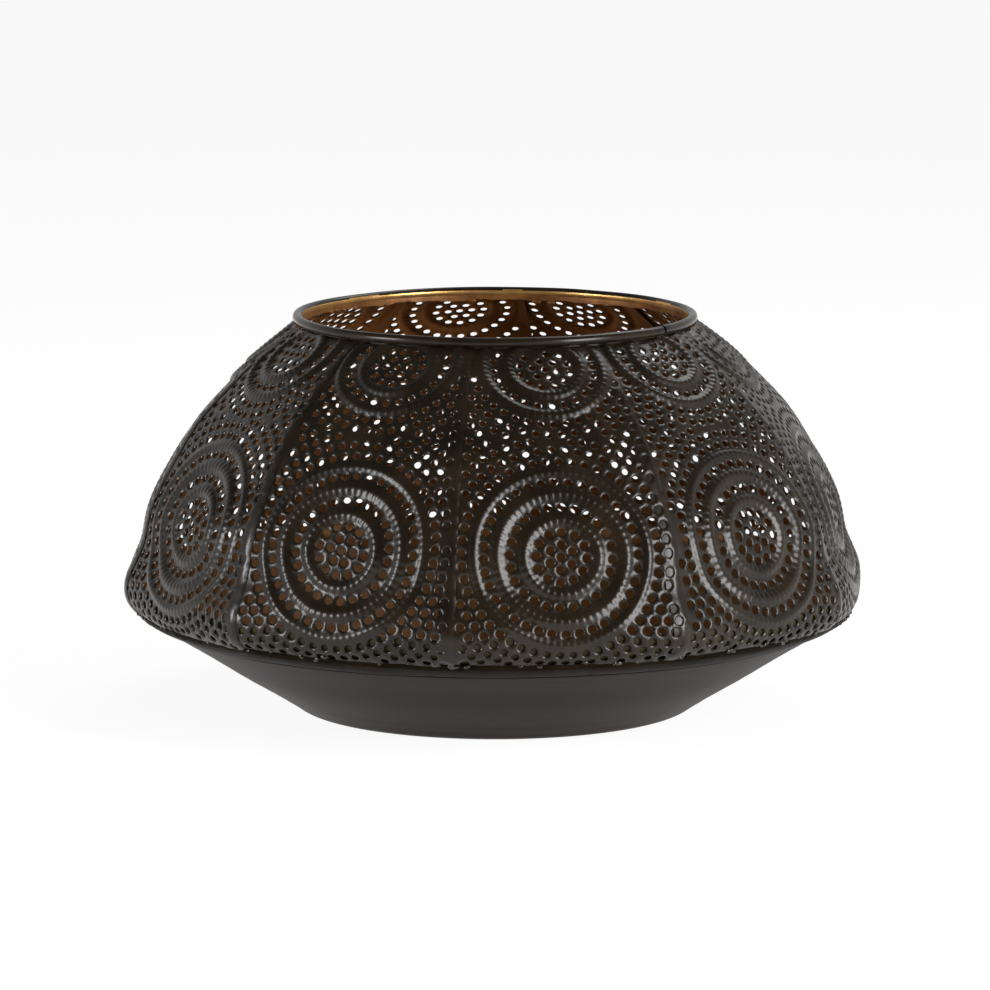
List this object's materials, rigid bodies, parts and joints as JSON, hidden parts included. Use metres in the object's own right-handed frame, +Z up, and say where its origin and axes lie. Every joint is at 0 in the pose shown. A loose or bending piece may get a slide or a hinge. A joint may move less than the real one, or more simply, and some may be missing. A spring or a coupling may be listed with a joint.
{
  "type": "tealight holder",
  "caption": "Sheet-metal lantern bowl of pierced, embossed gores on a spun cone dish, with a rolled rim; a tealight stands in a cup on its floor and lifts out of the mouth.",
  "frame": {"origin": "centre of the flat underside, where the holder stands on its table", "axes": "+Z up along the bowl's axis, -Y towards the front, +X to the viewer's right"},
  "size_m": [0.3312, 0.3344, 0.1761],
  "materials": {
    "side_panel_01": "satin near-black brown paint outside, gold-brown paint inside",
    "side_panel_02": "satin near-black brown paint outside, gold-brown paint inside",
    "side_panel_03": "satin near-black brown paint outside, gold-brown paint inside",
    "side_panel_04": "satin near-black brown paint outside, gold-brown paint inside",
    "side_panel_05": "satin near-black brown paint outside, gold-brown paint inside",
    "side_panel_06": "satin near-black brown paint outside, gold-brown paint inside",
    "side_panel_07": "satin near-black brown paint outside, gold-brown paint inside",
    "side_panel_08": "satin near-black brown paint outside, gold-brown paint inside",
    "side_panel_09": "satin near-black brown paint outside, gold-brown paint inside",
    "side_panel_10": "satin near-black brown paint outside, gold-brown paint inside",
    "rim_bead": "satin near-black paint",
    "inner_collar": "gold paint, slightly worn",
    "hem_band": "satin near-black paint",
    "lower_dish": "satin near-black paint outside, gold-brown paint inside",
    "tealight_cup": "gold paint",
    "cup_rivet": "plain domed rivet",
    "candle_can": "thin drawn foil",
    "candle_wax": "white paraffin wax",
    "candle_wick": "braided cotton",
    "wick_tab": "tinned sheet"
  },
  "bodies": {
    "holder": {"side_panel_01": "side_panel_01", "side_panel_02": "side_panel_02", "side_panel_03": "side_panel_03", "side_panel_04": "side_panel_04", "side_panel_05": "side_panel_05", "side_panel_06": "side_panel_06", "side_panel_07": "side_panel_07", "side_panel_08": "side_panel_08", "side_panel_09": "side_panel_09", "side_panel_10": "side_panel_10", "rim_bead": "rim_bead", "inner_collar": "inner_collar", "hem_band": "hem_band", "lower_dish": "lower_dish", "tealight_cup": "tealight_cup", "cup_rivet": "cup_rivet"},
    "tealight": {"candle_can": "candle_can", "candle_wax": "candle_wax", "candle_wick": "candle_wick", "wick_tab": "wick_tab"}
  },
  "joints": [
    {"name": "tealight_lift", "type": "slide", "parent": "holder", "child": "tealight", "axis": [0, 0, 1], "range_m": [0, 0.2]}
  ]
}
